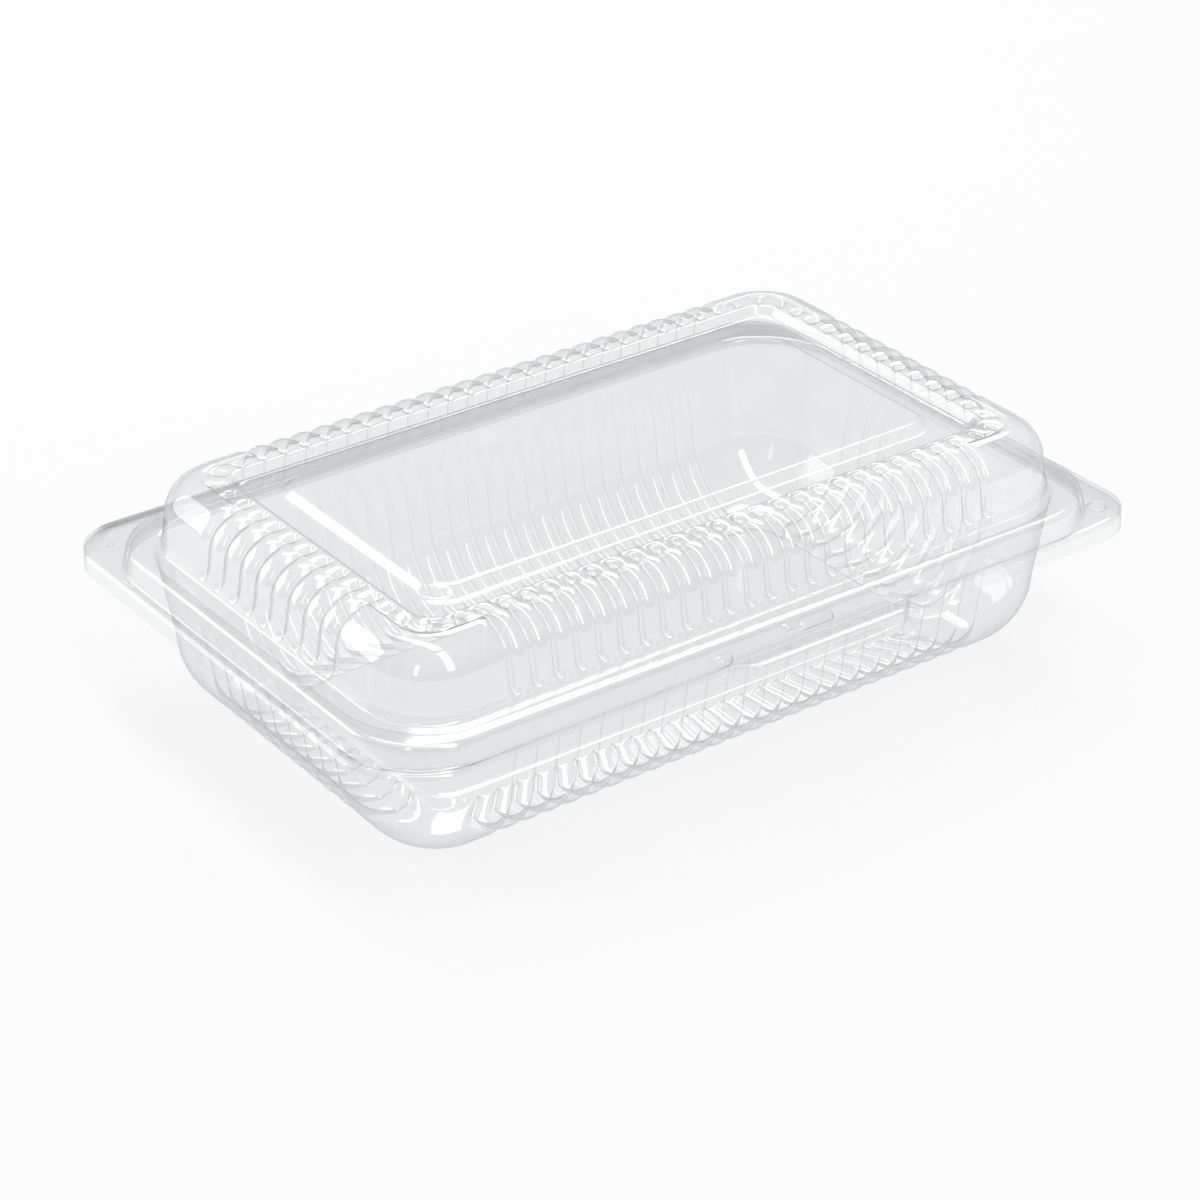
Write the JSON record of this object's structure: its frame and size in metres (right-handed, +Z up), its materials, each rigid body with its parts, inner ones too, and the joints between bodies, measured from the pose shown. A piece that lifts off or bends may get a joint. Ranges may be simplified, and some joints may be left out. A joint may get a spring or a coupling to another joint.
{
  "type": "hinged clear food pack",
  "caption": "Clear thin plastic clamshell food pack, closed: a shallow fluted lid hinged along one long side to a deeper fluted tray.",
  "frame": {"origin": "middle of the pack's footprint, on the plane that the tray's foot ring stands on", "axes": "+X along the pack's long side, +Y towards the hinge, +Z up"},
  "size_m": [0.187, 0.1253, 0.05],
  "materials": {
    "tray_sheet": "clear glossy sheet",
    "lid_sheet": "clear glossy sheet"
  },
  "bodies": {
    "tray": {"tray": "tray_sheet"},
    "lid": {"lid": "lid_sheet"}
  },
  "joints": [
    {"name": "lid_hinge", "type": "hinge", "parent": "tray", "child": "lid", "pos_m": [0, 0.0627, 0.03033], "axis": [-1, 0, 0], "range_deg": [0, 180]}
  ]
}
